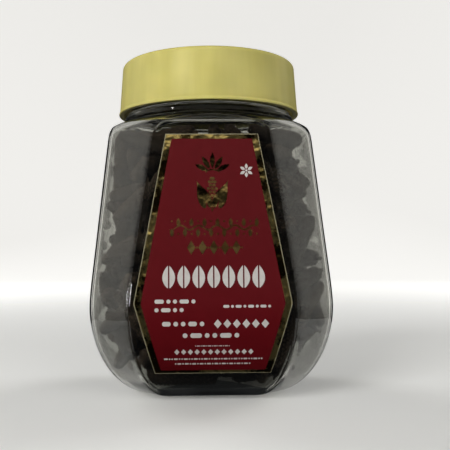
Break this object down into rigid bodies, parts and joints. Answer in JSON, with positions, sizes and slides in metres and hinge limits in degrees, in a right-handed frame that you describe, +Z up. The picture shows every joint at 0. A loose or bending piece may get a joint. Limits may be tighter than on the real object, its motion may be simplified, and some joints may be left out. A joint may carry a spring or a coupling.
{
  "type": "filled spice jar of long pepper",
  "caption": "Clear eight-sided screw-top jar with a bulged base, a round shoulder, a yellow cap and a foil label, filled with dried long pepper spikes.",
  "frame": {"origin": "centre of the jar's foot, on the surface that it stands on", "axes": "+Z up along the jar's axis, -Y towards the label"},
  "size_m": [0.0706, 0.0709, 0.1014],
  "materials": {
    "clear_plastic": "clear glossy PET",
    "yellow_plastic": "satin polypropylene",
    "liner_board": "matte foam-faced board",
    "label_foil": "red print on metallic gold film",
    "dried_pepper": "matte, rough, dried"
  },
  "bodies": {
    "jar": {"jar": "clear_plastic", "label": "label_foil", "long_peppers": "dried_pepper"},
    "liner": {"liner": "liner_board"},
    "cap": {"cap": "yellow_plastic"}
  },
  "joints": [
    {"name": "cap_lift", "type": "slide", "parent": "jar", "child": "liner", "axis": [0, 0, 1], "range_m": [0, 0.0041]},
    {"name": "cap_turn", "type": "hinge", "parent": "liner", "child": "cap", "pos_m": [0, 0, 0.0856], "axis": [0, 0, 1], "range_deg": [0, 360]}
  ],
  "couplings": [
    {"joint": "cap_lift", "follows": "cap_turn", "m_per_rad": 0.00063662}
  ]
}
